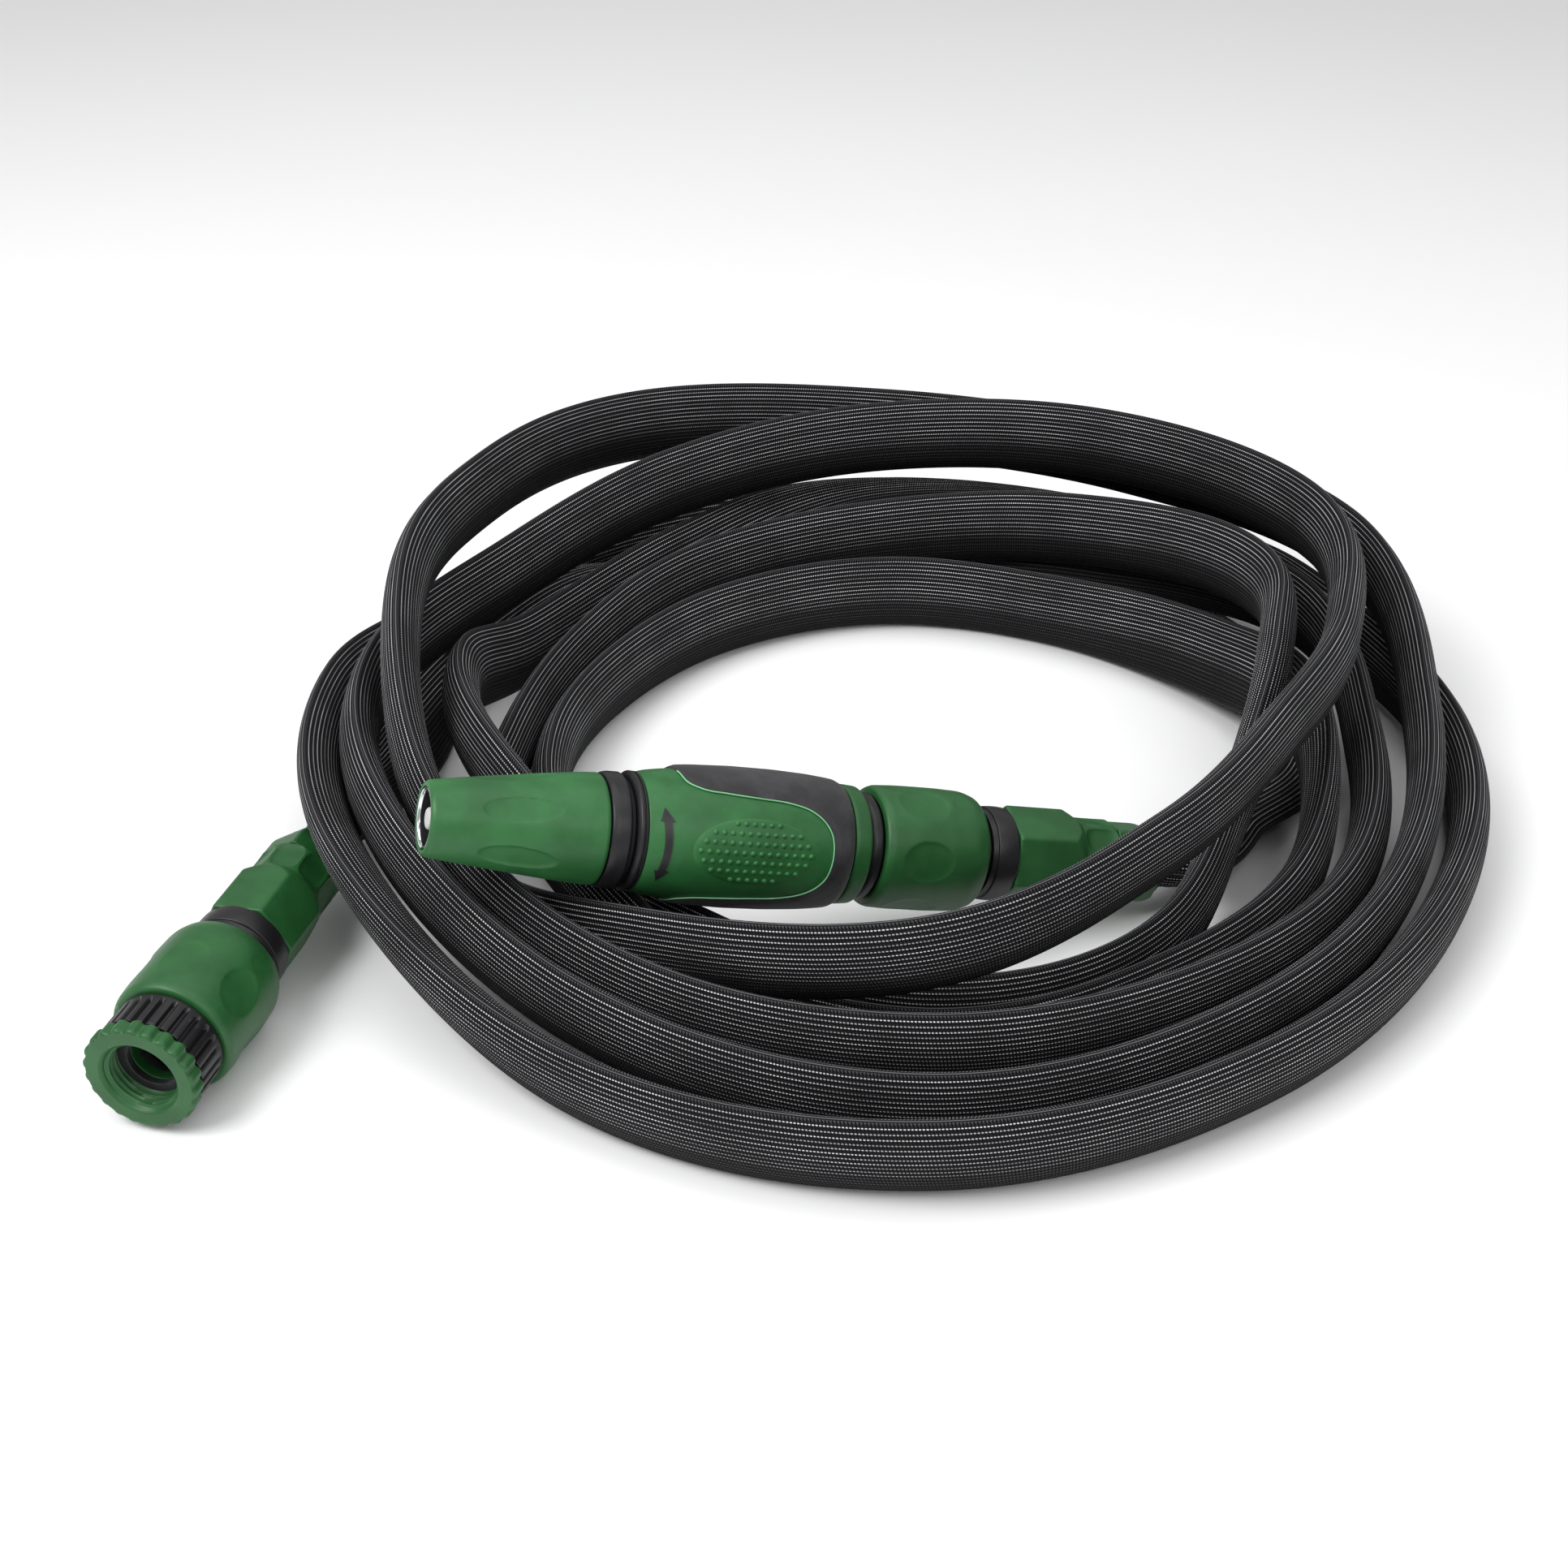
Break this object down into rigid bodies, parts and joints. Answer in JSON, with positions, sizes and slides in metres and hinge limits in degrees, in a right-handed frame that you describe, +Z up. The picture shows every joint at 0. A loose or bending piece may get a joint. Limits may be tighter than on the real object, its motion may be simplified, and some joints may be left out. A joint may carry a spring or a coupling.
{
  "type": "collapsible flat garden hose set",
  "caption": "Flat woven collapsible garden hose in a loose coil, with a tap quick connector on one end and a quick-connected twist spray nozzle on the other.",
  "frame": {"origin": "bottom centre of the box of the rigid fittings, on the surface that the set lies on", "axes": "+Z up, +Y along the tap connector from its mouth to the hose, +X to the right"},
  "size_m": [0.3647, 0.4003, 0.0848],
  "materials": {
    "green_shell": "satin moulded",
    "black_plastic": "satin moulded",
    "soft_black": "soft-touch matte",
    "seal_rubber": "matte",
    "chrome_ring": "polished",
    "spring_steel": "drawn wire",
    "grey_plastic": "satin",
    "latex": "matte",
    "woven_jacket": "ribbed elastic weave with pale warp threads"
  },
  "bodies": {
    "hose_set": {"hose": "woven_jacket", "tap_connector_body": "black_plastic", "tap_sleeve_spring": "spring_steel", "tap_liner_tube": "latex", "tap_clamp_collet": "black_plastic", "tap_hose_nut": "green_shell", "tap_hose_guard": "green_shell", "nozzle_connector_body": "black_plastic", "nozzle_sleeve_spring": "spring_steel", "nozzle_liner_tube": "latex", "nozzle_clamp_collet": "black_plastic", "nozzle_hose_nut": "green_shell", "nozzle_hose_guard": "green_shell"},
    "tap_sleeve": {"tap_release_sleeve": "green_shell"},
    "nozzle_sleeve": {"nozzle_release_sleeve": "green_shell"},
    "tap_swivel": {"tap_adaptor": "black_plastic", "tap_adaptor_washer": "seal_rubber", "tap_snout_seal": "seal_rubber"},
    "reducer_travel": {"tap_reducer_washer": "seal_rubber"},
    "reducer": {"tap_reducer_ring": "green_shell"},
    "nozzle_grip": {"nozzle_stem": "grey_plastic", "nozzle_neck_tube": "black_plastic", "nozzle_seat_ring": "black_plastic", "nozzle_flange_ring": "black_plastic", "nozzle_grip_body": "green_shell", "nozzle_soft_overmould": "soft_black", "nozzle_thumb_pad": "green_shell", "nozzle_turn_arrow": "soft_black", "nozzle_rear_ring": "green_shell", "nozzle_snout": "black_plastic", "nozzle_snout_seal": "seal_rubber"},
    "barrel_travel": {"nozzle_barrel_seal": "seal_rubber"},
    "barrel": {"nozzle_barrel": "green_shell", "nozzle_tip_ring": "chrome_ring"},
    "tap_jaw_1": {"tap_lock_jaw_1": "black_plastic"},
    "tap_jaw_2": {"tap_lock_jaw_2": "black_plastic"},
    "tap_jaw_3": {"tap_lock_jaw_3": "black_plastic"},
    "nozzle_jaw_1": {"nozzle_lock_jaw_1": "black_plastic"},
    "nozzle_jaw_2": {"nozzle_lock_jaw_2": "black_plastic"},
    "nozzle_jaw_3": {"nozzle_lock_jaw_3": "black_plastic"}
  },
  "joints": [
    {"name": "tap_sleeve_pull", "type": "slide", "parent": "hose_set", "child": "tap_sleeve", "axis": [0, 1, 0], "range_m": [0, 0.004], "stiffness_N_per_m": 500, "springref_m": -0.003, "deforming": ["tap_sleeve_spring"]},
    {"name": "tap_jaw_1_spread", "type": "slide", "parent": "hose_set", "child": "tap_jaw_1", "axis": [0, 0, 1], "range_m": [0, 0.0012]},
    {"name": "tap_jaw_2_spread", "type": "slide", "parent": "hose_set", "child": "tap_jaw_2", "axis": [0.866, 0, -0.5], "range_m": [0, 0.0012]},
    {"name": "tap_jaw_3_spread", "type": "slide", "parent": "hose_set", "child": "tap_jaw_3", "axis": [-0.866, 0, -0.5], "range_m": [0, 0.0012]},
    {"name": "nozzle_sleeve_pull", "type": "slide", "parent": "hose_set", "child": "nozzle_sleeve", "axis": [0.8253, 0.5018, -0.2588], "range_m": [0, 0.004], "stiffness_N_per_m": 500, "springref_m": -0.003, "deforming": ["nozzle_sleeve_spring"]},
    {"name": "nozzle_jaw_1_spread", "type": "slide", "parent": "hose_set", "child": "nozzle_jaw_1", "axis": [0.5623, -0.7725, 0.2953], "range_m": [0, 0.0012]},
    {"name": "nozzle_jaw_2_spread", "type": "slide", "parent": "hose_set", "child": "nozzle_jaw_2", "axis": [-0.3259, 0.0491, -0.9441], "range_m": [0, 0.0012]},
    {"name": "nozzle_jaw_3_spread", "type": "slide", "parent": "hose_set", "child": "nozzle_jaw_3", "axis": [-0.2363, 0.7233, 0.6488], "range_m": [0, 0.0012]},
    {"name": "tap_adaptor_swivel", "type": "hinge", "parent": "hose_set", "child": "tap_swivel", "pos_m": [-0.1151, -0.0879, 0.0176], "axis": [0, 1, 0], "continuous": true},
    {"name": "reducer_back_off", "type": "slide", "parent": "tap_swivel", "child": "reducer_travel", "axis": [0, -1, 0], "range_m": [0, 0.00544]},
    {"name": "reducer_unscrew", "type": "hinge", "parent": "reducer_travel", "child": "reducer", "pos_m": [-0.1151, -0.0879, 0.0176], "axis": [0, -1, 0], "range_deg": [0, 1080]},
    {"name": "nozzle_swivel", "type": "hinge", "parent": "hose_set", "child": "nozzle_grip", "pos_m": [-0.0549, -0.0308, 0.0715], "axis": [0.8253, 0.5018, -0.2588], "continuous": true},
    {"name": "barrel_advance", "type": "slide", "parent": "nozzle_grip", "child": "barrel_travel", "axis": [-0.8253, -0.5018, 0.2588], "range_m": [0, 0.005]},
    {"name": "barrel_twist", "type": "hinge", "parent": "barrel_travel", "child": "barrel", "pos_m": [-0.0549, -0.0308, 0.0715], "axis": [-0.8253, -0.5018, 0.2588], "range_deg": [0, 450]}
  ],
  "couplings": [
    {"joint": "tap_jaw_1_spread", "follows": "tap_sleeve_pull", "ratio": 0.3},
    {"joint": "tap_jaw_2_spread", "follows": "tap_sleeve_pull", "ratio": 0.3},
    {"joint": "tap_jaw_3_spread", "follows": "tap_sleeve_pull", "ratio": 0.3},
    {"joint": "nozzle_jaw_1_spread", "follows": "nozzle_sleeve_pull", "ratio": 0.3},
    {"joint": "nozzle_jaw_2_spread", "follows": "nozzle_sleeve_pull", "ratio": 0.3},
    {"joint": "nozzle_jaw_3_spread", "follows": "nozzle_sleeve_pull", "ratio": 0.3},
    {"joint": "reducer_back_off", "follows": "reducer_unscrew", "m_per_rad": 0.00028871},
    {"joint": "barrel_advance", "follows": "barrel_twist", "m_per_rad": 0.00063662}
  ]
}
